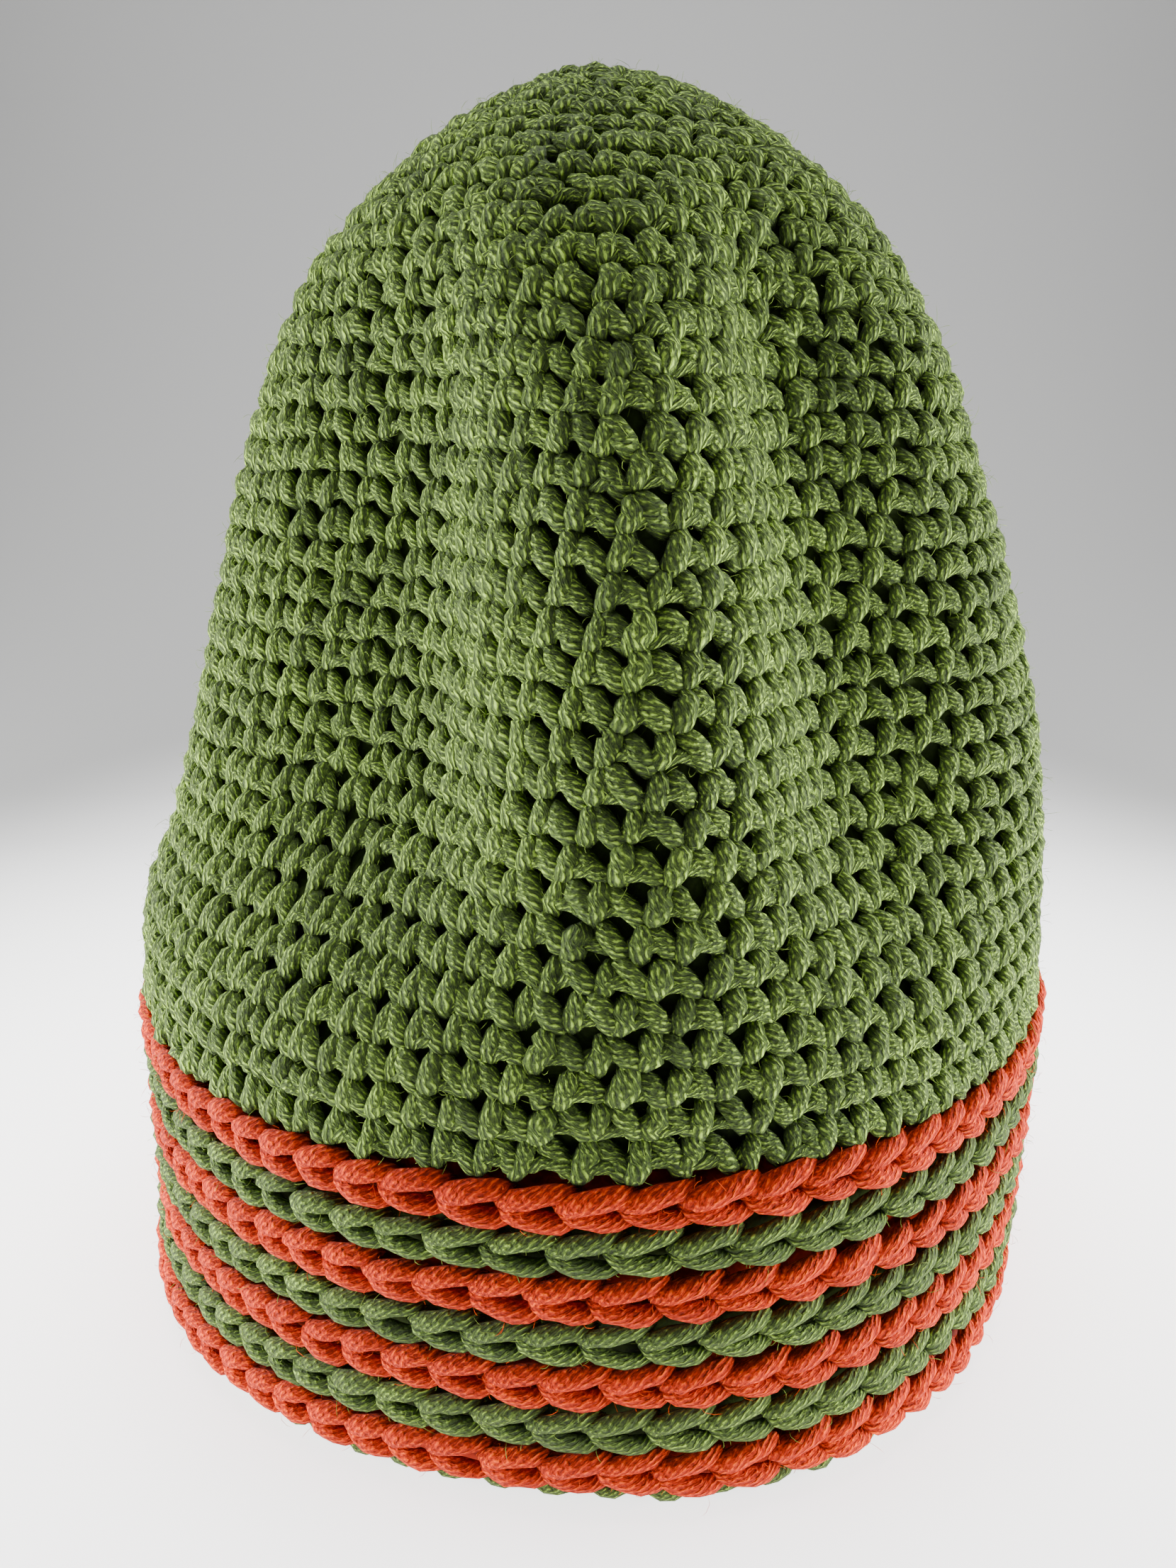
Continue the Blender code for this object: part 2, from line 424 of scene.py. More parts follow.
class YarnSettings(bpy.types.PropertyGroup):
    # The deep colours are painted shade between the yarn's plies, and the bright ones painted
    # highlights on their backs.
    green_ply_shade: colour_property(
        "Green, Deep", "Green yarn between its plies", (0.033, 0.046, 0.021)
    )
    green: colour_property("Green", "Green yarn", (0.105, 0.168, 0.031))
    green_ply_highlight: colour_property(
        "Green, Bright", "Green yarn's fibres that catch the light", (0.425, 0.665, 0.092)
    )
    green_loose: colour_property(
        "Green, Loose", "Loose fibres of the green yarn", (0.240, 0.360, 0.060)
    )
    orange_ply_shade: colour_property(
        "Orange, Deep", "Orange yarn between its plies", (0.170, 0.009, 0.002)
    )
    orange: colour_property("Orange", "Orange yarn", (0.560, 0.030, 0.001))
    orange_ply_highlight: colour_property(
        "Orange, Bright", "Orange yarn's fibres that catch the light", (0.980, 0.098, 0.001)
    )
    orange_loose: colour_property(
        "Orange, Loose", "Loose fibres of the orange yarn", (0.780, 0.080, 0.004)
    )
    crown_fibres: IntProperty(
        name="Crown Fibres", description="Loose fibres on each stretch of the crown's rows",
        default=3000, min=0,
    )
    round_fibres: IntProperty(
        name="Round Fibres", description="Loose fibres on each raised round",
        default=900, min=0,
    )
    seed: IntProperty(
        name="Seed", description="Start of the random draws",
        default=7, min=0,
    )


class StageSettings(bpy.types.PropertyGroup):
    camera_place: FloatVectorProperty(
        name="Camera Place", description="Where the camera stands",
        default=(-0.0007, -0.2295, 0.1615), subtype="TRANSLATION", unit="LENGTH",
    )
    camera_dip: FloatProperty(
        name="Camera Dip", description="How far the camera looks down",
        default=math.radians(18.0), subtype="ANGLE",
    )
    lens: FloatProperty(
        name="Lens", description="Focal length in millimetres",
        default=29.1, min=10.0,
    )
    floor: colour_property("Floor", "Colour of the sheet under the hat", (0.95, 0.95, 0.945))
    # Painted shade: the sheet away from the hat is painted this darker colour.
    backdrop: colour_property(
        "Backdrop", "Colour of the sheet behind the hat", (0.24, 0.24, 0.238)
    )
    side_power: FloatProperty(
        name="Side Lights", description="Power of each side light",
        default=5.7, min=0.0, unit="POWER",
    )
    top_power: FloatProperty(
        name="Top Light", description="Power of the top light",
        default=12.0, min=0.0, unit="POWER",
    )


def smooth_step(value, start=0.0, stop=1.0):
    """Rises smoothly from 0 where the value is at start to 1 where it is at stop."""
    share = np.clip((value - start) / (stop - start), 0.0, 1.0)
    return share * share * (3.0 - 2.0 * share)


def quarter_oval(azimuth, right, left, front, back, square=2.0):
    """Radius at an azimuth of a closed plan made of four quarter ovals."""
    across = np.sin(azimuth)
    along = np.cos(azimuth)
    side = np.where(across >= 0, right, left)
    end = np.where(along >= 0, front, back)
    reach = np.abs(across / side) ** square + np.abs(along / end) ** square
    return reach ** (-1.0 / square)


def plan_point(azimuth, radius, height):
    return np.stack([radius * np.sin(azimuth), -radius * np.cos(azimuth), height], axis=-1)


def band_radius(azimuth, height):
    """Radius of the band's wall at an azimuth and a height above the floor."""
    share = np.clip(height / BAND_HEIGHT, 0.0, 1.0)
    heights, *columns = zip(*BAND_SECTIONS)
    right, left, front, back, square, turn = (
        np.interp(share, heights, column) for column in columns
    )
    azimuth = azimuth - np.radians(turn)
    return BAND_REACH * quarter_oval(azimuth, right, left, front, back, square)


def smooth_curve(rows, place):
    """Points on a smooth curve through rows, place running from 0 to the last row's number."""
    last = len(rows) - 1
    index = np.minimum(place.astype(int), last - 1)
    t = (place - index)[..., None]
    before, start, stop, after = (
        rows[np.clip(index + step, 0, last)] for step in (-1, 0, 1, 2)
    )
    return 0.5 * (
        2.0 * start
        + (stop - before) * t
        + (2.0 * before - 5.0 * start + 4.0 * stop - after) * t ** 2
        + (3.0 * start - before - 3.0 * stop + after) * t ** 3
    )


def crown_section(place):
    """Height and the four reaches of the crown at places between its sections."""
    return np.moveaxis(smooth_curve(np.array(SECTIONS), place), -1, 0)


def valley_cut(azimuth, height):
    """Share of the radius that the valleys take away at a place on the crown."""
    cut = np.zeros_like(azimuth)
    for valley in VALLEYS:
        turn = np.degrees(azimuth) - valley.azimuth - valley.lean * (height - 0.5)
        turn = (turn + 180.0) % 360.0 - 180.0
        slope = np.where(turn > 0, valley.right_slope, valley.left_slope)
        rise = smooth_step(height, valley.start, valley.whole)
        fall = smooth_step(height, valley.end, valley.fading)
        share = np.clip(np.abs(turn) / slope, 0.0, 1.0)
        cut += valley.depth * rise * fall * 0.5 * (1.0 + np.cos(math.pi * share))
    return cut


def bare_crown_point(azimuth, place):
    """A point of the crown's outside, before the whole is moved over the origin."""
    place = np.clip(place, 0.0, LAST_PLACE)
    height, right, left, front, back = crown_section(place)
    least = SECTIONS[-1].right
    reaches = (np.maximum(reach, least) for reach in (right, left, front, back))
    foot_radius = band_radius(azimuth, np.full_like(azimuth, BAND_HEIGHT)) + CROWN_OVERHANG
    radius = foot_radius * quarter_oval(azimuth, *reaches) * (1.0 - valley_cut(azimuth, height))
    return plan_point(azimuth, radius, CROWN_FOOT + height * CROWN_HEIGHT)


def centring_move():
    """How far part of the making moves the whole to stand over the origin."""
    azimuth, place = np.meshgrid(
        np.linspace(0.0, FULL_TURN, 361), np.linspace(0.0, LAST_PLACE - 1, 60)
    )
    points = bare_crown_point(azimuth, place).reshape(-1, 3)
    middle = 0.5 * (points.min(axis=0) + points.max(axis=0))
    low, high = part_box("crown")
    across = 0.5 * (low.x + high.x) - middle[0]
    along = 0.5 * (low.y + high.y) - middle[1]
    return np.array([across, along, 0.0])


MOVE = centring_move()


def crown_point(azimuth, place):
    return bare_crown_point(azimuth, place) + MOVE


def band_point(azimuth, height):
    return plan_point(azimuth, band_radius(azimuth, height), height) + MOVE


def unit(vectors):
    return vectors / np.maximum(np.linalg.norm(vectors, axis=-1, keepdims=True), 1e-12)


def surface_normal(surface, azimuth, up, nudge):
    """Outward direction of a surface that is read at an azimuth and a place up it."""
    across = surface(azimuth + TURN_NUDGE, up) - surface(azimuth - TURN_NUDGE, up)
    rise = surface(azimuth, up + nudge) - surface(azimuth, up - nudge)
    return unit(np.cross(across, rise))


def crown_normal(azimuth, place):
    return surface_normal(crown_point, azimuth, place, PLACE_NUDGE)


def route_samples(strand):
    """A strand's route, with a sample for each ring of its mesh and for both its ends."""
    place = np.linspace(0.0, len(strand.route) - 1, strand.lengths + 1)
    return smooth_curve(np.array(strand.route), place)


def strand_blank(sides, lengths):
    """Closed lozenge of yarn from pole to pole, to be laid along a route."""
    shape = bmesh.new()
    shape.loops.layers.uv.new("UVMap")
    bmesh.ops.create_uvsphere(
        shape, u_segments=sides, v_segments=lengths, radius=1.0, calc_uvs=True
    )
    # The operator shuffles the faces, and the fibres' places are drawn by their order
    shape.verts.index_update()
    ordered = sorted(shape.faces, key=lambda face: sorted(vert.index for vert in face.verts))
    for index, face in enumerate(ordered):
        face.index = index
    shape.faces.sort()
    mesh = bpy.data.meshes.new("strand blank")
    shape.to_mesh(mesh)
    shape.free()
    return mesh


def joined_copies(blank, count):
    """One mesh that holds count copies of a blank, one after the other."""
    holder = bpy.data.objects.new("copies", blank)
    bpy.context.scene.collection.objects.link(holder)
    row = holder.modifiers.new("copies", "ARRAY")
    row.count = count
    row.use_relative_offset = False
    row.use_constant_offset = True
    row.constant_offset_displace = (0.0, 0.0, 4.0)
    bpy.context.view_layer.update()
    evaluated = holder.evaluated_get(bpy.context.evaluated_depsgraph_get())
    mesh = bpy.data.meshes.new_from_object(evaluated)
    bpy.data.objects.remove(holder)
    return mesh


def lay_strands(strand, centres, normals, out, plump, tones, lumps=None):
    """Mesh of one kind of strand. Centres, normals and depths have a row for each strand and a
    column for each ring of the blank, and lumps draws the yarn's uneven thickness."""
    count = len(centres)
    lengths = strand.lengths
    half_width = strand.half_width * MILLIMETRE * plump
    half_depth = strand.half_depth * MILLIMETRE * plump
    blank = strand_blank(strand.sides, lengths)
    rest = np.zeros(len(blank.vertices) * 3)
    blank.vertices.foreach_get("co", rest)
    rest = rest.reshape(-1, 3)
    ring = np.rint(np.arccos(np.clip(rest[:, 2], -1.0, 1.0)) / math.pi * lengths).astype(int)
    angle = np.arctan2(rest[:, 1], rest[:, 0])
    along = 2.0 * ring / lengths - 1.0
    swell = np.sqrt(np.clip(1.0 - np.abs(along) ** BLUNTNESS, 0.0, 1.0))
    tangents = unit(np.gradient(centres, axis=1))
    sideways = unit(np.cross(tangents, normals))
    outwards = np.cross(sideways, tangents)
    width = half_width[:, None, None] * (swell * np.cos(angle))[None, :, None]
    depth = half_depth[:, None, None] * (swell * np.sin(angle))[None, :, None]
    if lumps is not None:
        lump = 1.0 + lumps.normal(0.0, LUMPINESS, (count, len(rest), 1))
        width, depth = width * lump, depth * lump
    points = centres[:, ring] + sideways[:, ring] * width + outwards[:, ring] * depth
    mesh = joined_copies(blank, count)
    mesh.vertices.foreach_set("co", points.ravel())
    length = np.linalg.norm(np.diff(centres, axis=1), axis=-1).sum(axis=1) / MILLIMETRE
    layer = mesh.uv_layers["UVMap"].data
    uv = np.zeros(len(layer) * 2)
    layer.foreach_get("uv", uv)
    uv = uv.reshape(count, -1, 2)
    uv[:, :, 1] = (1.0 - uv[:, :, 1]) * length[:, None]
    layer.foreach_set("uv", uv.ravel())
    # Yarn that lies deeper below the fabric's face is painted darker: painted shade in the
    # crevices between the stitches.
    proud = out[:, ring] + depth[:, :, 0] / MILLIMETRE
    depth_shade = DEEPEST_SHADED_TONE + (1.0 - DEEPEST_SHADED_TONE) * smooth_step(proud, DEEPEST_OUT, FACE_OUT)
    tone = mesh.attributes.new("tone", "FLOAT", "POINT")
    tone.data.foreach_set("value", (depth_shade * tones[:, None]).astype(np.float32).ravel())
    bpy.data.meshes.remove(blank)
    return mesh


def joined(meshes, name):
    """One mesh out of several, with their maps and attributes."""
    whole = bmesh.new()
    for mesh in meshes:
        whole.from_mesh(mesh)
        bpy.data.meshes.remove(mesh)
    result = bpy.data.meshes.new(name)
    whole.to_mesh(result)
    whole.free()
    return result


def spun_shell(profile, columns, surface):
    """Closed skin: a profile of (out, place) points spun a full turn and laid on a surface."""
    base = 1.0
    shape = bmesh.new()
    shape.loops.layers.uv.new("UVMap")
    verts = [shape.verts.new((base + out, 0.0, place)) for out, place in profile]
    edges = [shape.edges.new((verts[k], verts[(k + 1) % len(verts)])) for k in range(len(verts))]
    bmesh.ops.spin(
        shape, geom=verts + edges, cent=(0, 0, 0), axis=(0, 0, 1), dvec=(0, 0, 0),
        angle=FULL_TURN, steps=columns, use_merge=True, use_duplicate=False,
    )
    rest = np.array([vert.co for vert in shape.verts])
    azimuth = np.arctan2(rest[:, 0], -rest[:, 1])
    out = np.hypot(rest[:, 0], rest[:, 1]) - base
    points = surface(azimuth, rest[:, 2], out)
    for vert, point in zip(shape.verts, points):
        vert.co = point
    bmesh.ops.remove_doubles(shape, verts=shape.verts, dist=0.00001)
    loose = [edge for edge in shape.edges if not edge.link_faces]
    bmesh.ops.delete(shape, geom=loose, context="EDGES")
    bmesh.ops.recalc_face_normals(shape, faces=shape.faces)
    mesh = bpy.data.meshes.new("shell")
    shape.to_mesh(mesh)
    shape.free()
    # The skin is the fabric's own inner side, given a darker tone than the yarn's face: painted
    # shade under the stitches and links.
    tone = mesh.attributes.new("tone", "FLOAT", "POINT")
    tone.data.foreach_set("value", np.full(len(mesh.vertices), SHELL_SHADED_TONE, np.float32))
    return mesh


def add_piece(mesh, name, material, node):
    """Puts a finished mesh in the scene, on the body, in place of its solid."""
    mesh.name = name
    mesh.materials.clear()
    mesh.materials.append(material)
    mesh.shade_smooth()
    piece = bpy.data.objects.new(name, mesh)
    bpy.context.scene.collection.objects.link(piece)
    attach(piece, "root")
    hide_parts(node)
    return piece


class Socket:
    """A node's output, with the arithmetic that a maker writes."""

    def __init__(self, maker, output):
        self.maker = maker
        self.output = output

    def math(self, operation, *others, swapped=False):
        terms = [self, *others]
        if swapped:
            terms.reverse()
        return self.maker.node("ShaderNodeMath", {"operation": operation}, dict(enumerate(terms)))

    def __add__(self, other):
        return self.math("ADD", other)

    __radd__ = __add__

    def __sub__(self, other):
        return self.math("SUBTRACT", other)

    def __rsub__(self, other):
        return self.math("SUBTRACT", other, swapped=True)

    def __mul__(self, other):
        return self.math("MULTIPLY", other)

    __rmul__ = __mul__

    def __truediv__(self, other):
        return self.math("DIVIDE", other)

    def fold(self, size):
        """Runs up and down between 0 and size."""
        return self.math("PINGPONG", size)

    def clamped(self):
        return self.math("MAXIMUM", 0.0).math("MINIMUM", 1.0)

    def beside(self, place):
        """Another output of the same node."""
        return Socket(self.maker, self.output.node.outputs[place])


class NodeMaker:
    """Builds one material's nodes."""

    def __init__(self, name):
        self.material = bpy.data.materials.new(name)
        self.material.use_nodes = True
        self.tree = self.material.node_tree
        self.shader = self.tree.nodes["Principled BSDF"]

    def feed(self, socket, value):
        if isinstance(value, Socket):
            self.tree.links.new(value.output, socket)
        else:
            socket.default_value = value

    def node(self, kind, settings=None, inputs=None, output=0):
        """Adds a node: its settings come first, then the values or links of its sockets."""
        made = self.tree.nodes.new(kind)
        for name, value in (settings or {}).items():
            setattr(made, name, value)
        for socket, value in (inputs or {}).items():
            self.feed(made.inputs[socket], value)
        return Socket(self, made.outputs[output])

    def noise(self, place, scale, detail, roughness):
        values = {"Vector": place, "Scale": scale, "Detail": detail, "Roughness": roughness}
        return self.node("ShaderNodeTexNoise", {"noise_dimensions": "3D"}, values)

    def blend(self, share, low, high):
        """Colour between two colours."""
        settings = {"data_type": "RGBA", "blend_type": "MIX"}
        return self.node("ShaderNodeMix", settings, {0: share, 6: low, 7: high}, output=2)

    def finish(self, inputs):
        for name, value in inputs.items():
            self.feed(self.shader.inputs[name], value)
        return self.material


def yarn_material(name, ply_shade, middle, bright):
    """Twisted worsted yarn: painted highlights on each ply's back, painted shade between the
    plies.
    """
    maker = NodeMaker(name)
    # A strand's own map runs round it in turns and along it in millimetres. The phase counts
    # its plies, wandering a little, and dashes are painted highlights on a ply's back.
    strand_place = maker.node("ShaderNodeTexCoord", output=2)
    parts = maker.node("ShaderNodeSeparateXYZ", inputs={0: strand_place})
    around, lengthwise = parts, parts.beside(1)
    tone = maker.node("ShaderNodeAttribute", {"attribute_name": "tone"}, output=2)
    where = maker.node("ShaderNodeTexCoord", output=3)
    wander = maker.noise(where, 300.0, 1.0, 0.5)
    phase = around * PLY_RIDGES - lengthwise / PLY_SPACING_MM + wander * 1.4
    ply = phase.fold(0.5) * 2.0
    along = lengthwise * 0.9 + around * 5.0
    dash_place = maker.node("ShaderNodeCombineXYZ", None, {0: phase, 1: along * 0.65})
    dashes = ((maker.noise(dash_place, 1.6, 1.0, 0.5) - 0.42) * 4.5).clamped()
    fibre_place = maker.node("ShaderNodeCombineXYZ", None, {0: phase * 3.4, 1: along, 2: wander})
    fibres = maker.noise(fibre_place, 1.6, 2.0, 0.65)
    hairs = maker.noise(where, 1500.0, 3.0, 0.7)
    patches = maker.noise(where, 70.0, 2.0, 0.5)
    streak = (ply * 1.6 - 0.35).clamped()
    light = 0.19 + streak * 0.12 + streak * dashes * 0.72
    ragged = (fibres - 0.5) * 1.5 + (hairs - 0.5) * 0.8 + (patches - 0.5) * 0.3
    # The tone attribute darkens the deeper yarn and the skin under it: painted shade, beside each
    # strand's own tone.
    shade = ((light + ragged).clamped() * tone).clamped()
    low = maker.blend((shade * 2.0).clamped(), (*ply_shade, 1.0), (*middle, 1.0))
    body = maker.blend((shade * 2.0 - 1.0).clamped(), low, (*bright, 1.0))
    height = ply * 0.5 + dashes * 0.6 + fibres * 0.5 + hairs * 0.3
    relief = {"Strength": 0.8, "Distance": 0.0004, "Height": height}
    bump = maker.node("ShaderNodeBump", None, relief)
    return maker.finish({
        "Base Color": body, "Roughness": 0.9, "Normal": bump,
        "Sheen Weight": 0.03, "Sheen Roughness": 0.5, "Specular IOR Level": 0.12,
    })


def loose_fibre_material(name, bright):
    maker = NodeMaker(name)
    return maker.finish({
        "Base Color": (*bright, 1.0), "Roughness": 0.9, "Specular IOR Level": 0.12,
    })


def front_swell(azimuth, width):
    """Stretch of the fabric over the front lobe, 1 at its crest and 0 away from it."""
    return np.exp(-((azimuth - FRONT_CREST) / width) ** 4)


def crest_swell(azimuth, height):
    """Stretch of the crown's stitches over the front lobe, fading out towards the top."""
    return front_swell(azimuth, CREST_WIDTH) * (1.0 - smooth_step(height, *CREST_FADE))


def stitch_closeness(azimuth, height):
    """How much the stitches close up at a place on the crown, below 0 where they open."""
    closeness = np.zeros(np.broadcast(azimuth, height).shape)
    for strip in STITCH_STRIPS:
        turn = np.degrees(azimuth) - strip.azimuth - strip.lean * (height - 0.5)
        closeness += strip.closeness * np.exp(-(turn / strip.reach) ** 2)
    return closeness * smooth_step(height, *STRIPS_COME) * smooth_step(height, *STRIPS_GO)


def row_height(row, settings):
    """Height of a row's middle as a share of the crown's height."""
    return crown_section(crown_place(np.array([row + 0.5]), settings.row_pitch))[0].item()


def row_of_crown(row, settings):
    """Stitches in a row: how many, and the share of them up to each azimuth."""
    place = crown_place(row + 0.5, settings.row_pitch)
    points = crown_point(EVEN_TURNS, np.full_like(EVEN_TURNS, place))
    steps = np.linalg.norm(np.diff(points, axis=0), axis=1)
    middle = 0.5 * (EVEN_TURNS[1:] + EVEN_TURNS[:-1])
    height = row_height(row, settings)
    stretch = 1.0 + settings.front_stretch * crest_swell(middle, height)
    stretch = stretch - CLOSE_NARROWING * stitch_closeness(middle, height)
    reach = np.concatenate([[0.0], np.cumsum(steps / stretch)])
    pitch = settings.stitch_pitch * (1.0 - UPPER_NARROWING * smooth_step(height, *UPPER_ROWS))
    count = max(int(round(reach[-1] / pitch / 2.0)) * 2, 6)
    return count, reach / reach[-1]


def crown_profile():
    """Length up the crown's side for places between the sections."""
    place = np.linspace(0.0, LAST_PLACE, 1201)
    lengths = []
    for azimuth in (math.radians(turn) for turn in PROFILE_TURNS):
        points = crown_point(np.full_like(place, azimuth), place)
        steps = np.linalg.norm(np.diff(points, axis=0), axis=1)
        lengths.append(np.concatenate([[0.0], np.cumsum(steps)]))
    return place, np.mean(lengths, axis=0)


PROFILE_PLACE, PROFILE_LENGTH = crown_profile()


def crown_place(rows_up, row_pitch):
    return np.interp(rows_up * row_pitch, PROFILE_LENGTH, PROFILE_PLACE)


def crown_rows(settings):
    return int(PROFILE_LENGTH[-1] / settings.row_pitch)


def stitch_row(strand, row, settings, random, lean_so_far):
    """Centres, normals, depths and fullness of one kind of strand in each stitch of a row."""
    count, reach = row_of_crown(row, settings)
    route = route_samples(strand)
    loosened = smooth_step(row_height(row, settings), *UPPER_ROWS)
    stray = settings.unevenness * (1.0 + UPPER_UNEVENNESS * loosened)
    stitch = np.arange(count)[:, None] + lean_so_far
    along = stitch + route[:, 0] + random.normal(0.0, stray, (count, 1))
    up = row + route[:, 1] + random.normal(0.0, stray, (count, 1))
    along = along + random.normal(0.0, STITCH_STRAY.ring * stray, along.shape)
    up = up + random.normal(0.0, STITCH_STRAY.ring * stray, up.shape)
    out = route[:, 2] + random.normal(0.0, STITCH_STRAY.out * stray, (count, 1))
    # The foot row lies on the round below it instead of going under it
    out = out + FOOT_FILL * (1.0 - smooth_step(up, 0.0, FOOT_FADE))
    share = (along / count) % 1.0
    turn = np.interp(share, reach, EVEN_TURNS)
    place = crown_place(np.maximum(up, 0.0), settings.row_pitch)
    points = crown_point(turn, place)
    normals = crown_normal(turn, place)
    below = np.minimum(up, 0.0)[..., None] * settings.row_pitch
    points = points + below * np.array([0.0, 0.0, 1.0])
    height = crown_section(place)[0]
    closeness = stitch_closeness(turn, height)
    out = out * (1.0 - CLOSE_LEVELLING * closeness)
    fullness = 1.0 + CREST_FULLNESS * crest_swell(turn, height).mean(axis=1)
    fullness = fullness + CLOSE_FULLNESS * closeness.mean(axis=1)
    return points + normals * out[..., None] * MILLIMETRE, normals, out, fullness


def crown_strands(strand, rows, settings, random):
    """Mesh of one kind of strand in a stretch of the crown's rows."""
    centres, normals, out, fullness = (np.concatenate(part) for part in zip(*(
        stitch_row(strand, row, settings, random, row * STITCH_LEAN) for row in rows
    )))
    count = len(centres)
    plump = fullness + random.normal(0.0, STITCH_STRAY.fullness * settings.unevenness, count)
    tones = 1.0 + random.normal(0.0, STITCH_STRAY.tone * settings.unevenness, count)
    return lay_strands(strand, centres, normals, out, plump, tones, random)


def closing_strands(settings, random):
    """Mesh of the loops that close the crown over its last row."""
    route = route_samples(CLOSING_LOOP)
    last = crown_place(crown_rows(settings), settings.row_pitch)
    stray = random.normal(0.0, settings.unevenness, (CLOSING_LOOPS, 1))
    turn = (np.arange(CLOSING_LOOPS)[:, None] + route[:, 0] + stray) * FULL_TURN / CLOSING_LOOPS
    place = last + route[:, 1] * (LAST_PLACE - last) + np.zeros_like(turn)
    # At the top itself the surface faces every way at once, so it is read just below
    normals = crown_normal(turn, np.minimum(place, LAST_PLACE - 0.05))
    out = route[:, 2] + np.zeros_like(turn)
    centres = crown_point(turn, place) + normals * out[..., None] * MILLIMETRE
    top = crown_point(np.zeros(1), np.full(1, float(LAST_PLACE)))[0]
    reach = TOP_LOOPS.half_length
    across = np.linspace(-reach, reach, CLOSING_LOOP.lengths + 1) * MILLIMETRE
    arch = (TOP_LOOPS.height - (across / across[-1]) ** 2 * TOP_LOOPS.drop) * MILLIMETRE
    knot = [
        top * (0.0, 0.0, 1.0) + MOVE
        + np.stack([across * math.cos(way), across * math.sin(way), arch], axis=-1)
        for way in map(math.radians, TOP_LOOPS.ways)
    ]
    centres = np.concatenate([centres, knot])
    normals = np.concatenate([normals, np.broadcast_to((0.0, 0.0, 1.0), np.shape(knot))])
    out = np.concatenate([out, np.zeros((len(knot), out.shape[1]))])
    plump = np.append(1.0 + 2.0 * stray[:, 0], (1.0, 0.9))
    return lay_strands(CLOSING_LOOP, centres, normals, out, plump, np.ones(len(plump)), random)


def crown_shell_point(azimuth, place, out):
    """A point of the skin under the stitches, drawn in to the axis at the top."""
    points = crown_point(azimuth, place) + crown_normal(azimuth, place) * out[:, None]
    closed = place >= LAST_PLACE - 0.001
    points[closed, :2] = MOVE[:2]
    return points


def link_shares(front_stretch):
    """Share of a raised round's links up to each even turn, with longer links in front."""
    density = 1.0 / (1.0 + front_stretch * front_swell(EVEN_TURNS, BAND_CREST_WIDTH))
    reach = np.concatenate([[0.0], np.cumsum(0.5 * (density[1:] + density[:-1]))])
    return reach / reach[-1]


def seam_step(azimuth, settings):
    """How far a round is lifted or lowered near its join."""
    past = (azimuth - settings.seam_azimuth + math.pi) % FULL_TURN - math.pi
    lifted = np.exp(-np.clip(past, 0.0, None) / SEAM_STEP_FADE)
    lowered = -SEAM_DIP * np.exp(np.clip(past, None, 0.0) / SEAM_DIP_FADE)
    return settings.seam_jog * np.where(past >= 0.0, lifted, lowered)


def round_strands(strand, middle, phase, pitch, yarn, settings, random, jog=1.0):
    """Mesh of one kind of strand in every link of a raised round."""
    count = settings.links
    route = route_samples(strand)
    along = np.arange(count)[:, None] + phase + route[:, 0]
    along = along + random.normal(0, LINK_STRAY.along, (count, 1))
    turn = np.interp((along / count) % 1.0, link_shares(settings.front_stretch), EVEN_TURNS)
    height = middle + route[:, 1] * pitch + random.normal(0, LINK_STRAY.up * pitch, (count, 1))
    height = height + jog * seam_step(turn, settings)
    out = route[:, 2] + random.normal(0, LINK_STRAY.out, (count, 1))
    points = band_point(turn, height)
    normals = surface_normal(band_point, turn, height, HEIGHT_NUDGE)
    centres = points + normals * out[..., None] * MILLIMETRE
    plump = yarn.fullness + random.normal(0, LINK_STRAY.fullness, count)
    tones = yarn.tone + random.normal(0, LINK_STRAY.tone, count)
    return lay_strands(strand, centres, normals, out - LINK_CREST, plump, tones, random)


def ring_core(low, high, inner, outer):
    """Plain closed ring inside a round, from one height to another."""
    profile = ((-inner, low), (outer, low), (outer, high), (-inner, high))

    def surface(azimuth, height, out):
        radius = band_radius(azimuth, height) + out
        return plan_point(azimuth, radius, height) + MOVE

    return spun_shell(profile, CORE_COLUMNS, surface)


def read_parts(collection, name, width, kind=float):
    """One attribute of all of a mesh's parts, in rows as wide as it has numbers."""
    values = np.zeros(len(collection) * width, kind)
    collection.foreach_get(name, values)
    return values.reshape(-1, width) if width > 1 else values


def scattered_fibres(mesh, count, full_tone, random):
    """Mesh of fine curved fibres that stand off the proudest faces of a piece."""
    centres = read_parts(mesh.polygons, "center", 3)
    outwards = read_parts(mesh.polygons, "normal", 3)
    starts = read_parts(mesh.polygons, "loop_start", 1, int)
    corners = read_parts(mesh.polygons, "loop_total", 1, int)
    verts = read_parts(mesh.loops, "vertex_index", 1, int)
    tones = read_parts(mesh.attributes["tone"].data, "value", 1)[verts]
    proud = np.flatnonzero(np.add.reduceat(tones, starts) > FIBRE_TONE * full_tone * corners)
    face = random.choice(proud, count)
    base, out = centres[face], outwards[face]
    aside = unit(np.cross(out, random.normal(size=(count, 3))))
    bend = unit(np.cross(out, random.normal(size=(count, 3))))
    reach = random.uniform(*FIBRE_REACH, (count, 1)) * MILLIMETRE
    stray = random.uniform(*FIBRE_STRAY, (count, 1)) * MILLIMETRE
    route = [base - FIBRE_ROOT * MILLIMETRE * out]
    for knot in FIBRE_ROUTE:
        route.append(
            base + knot.rise * reach * out + knot.aside * stray * aside + knot.bend * stray * bend
        )
    centres = np.stack(route, axis=1)
    normals = np.repeat(bend[:, None], len(route), axis=1) + 0.001 * out[:, None]
    depths = np.zeros((count, len(route)))
    return lay_strands(FIBRE, centres, normals, depths, np.ones(count), np.ones(count))


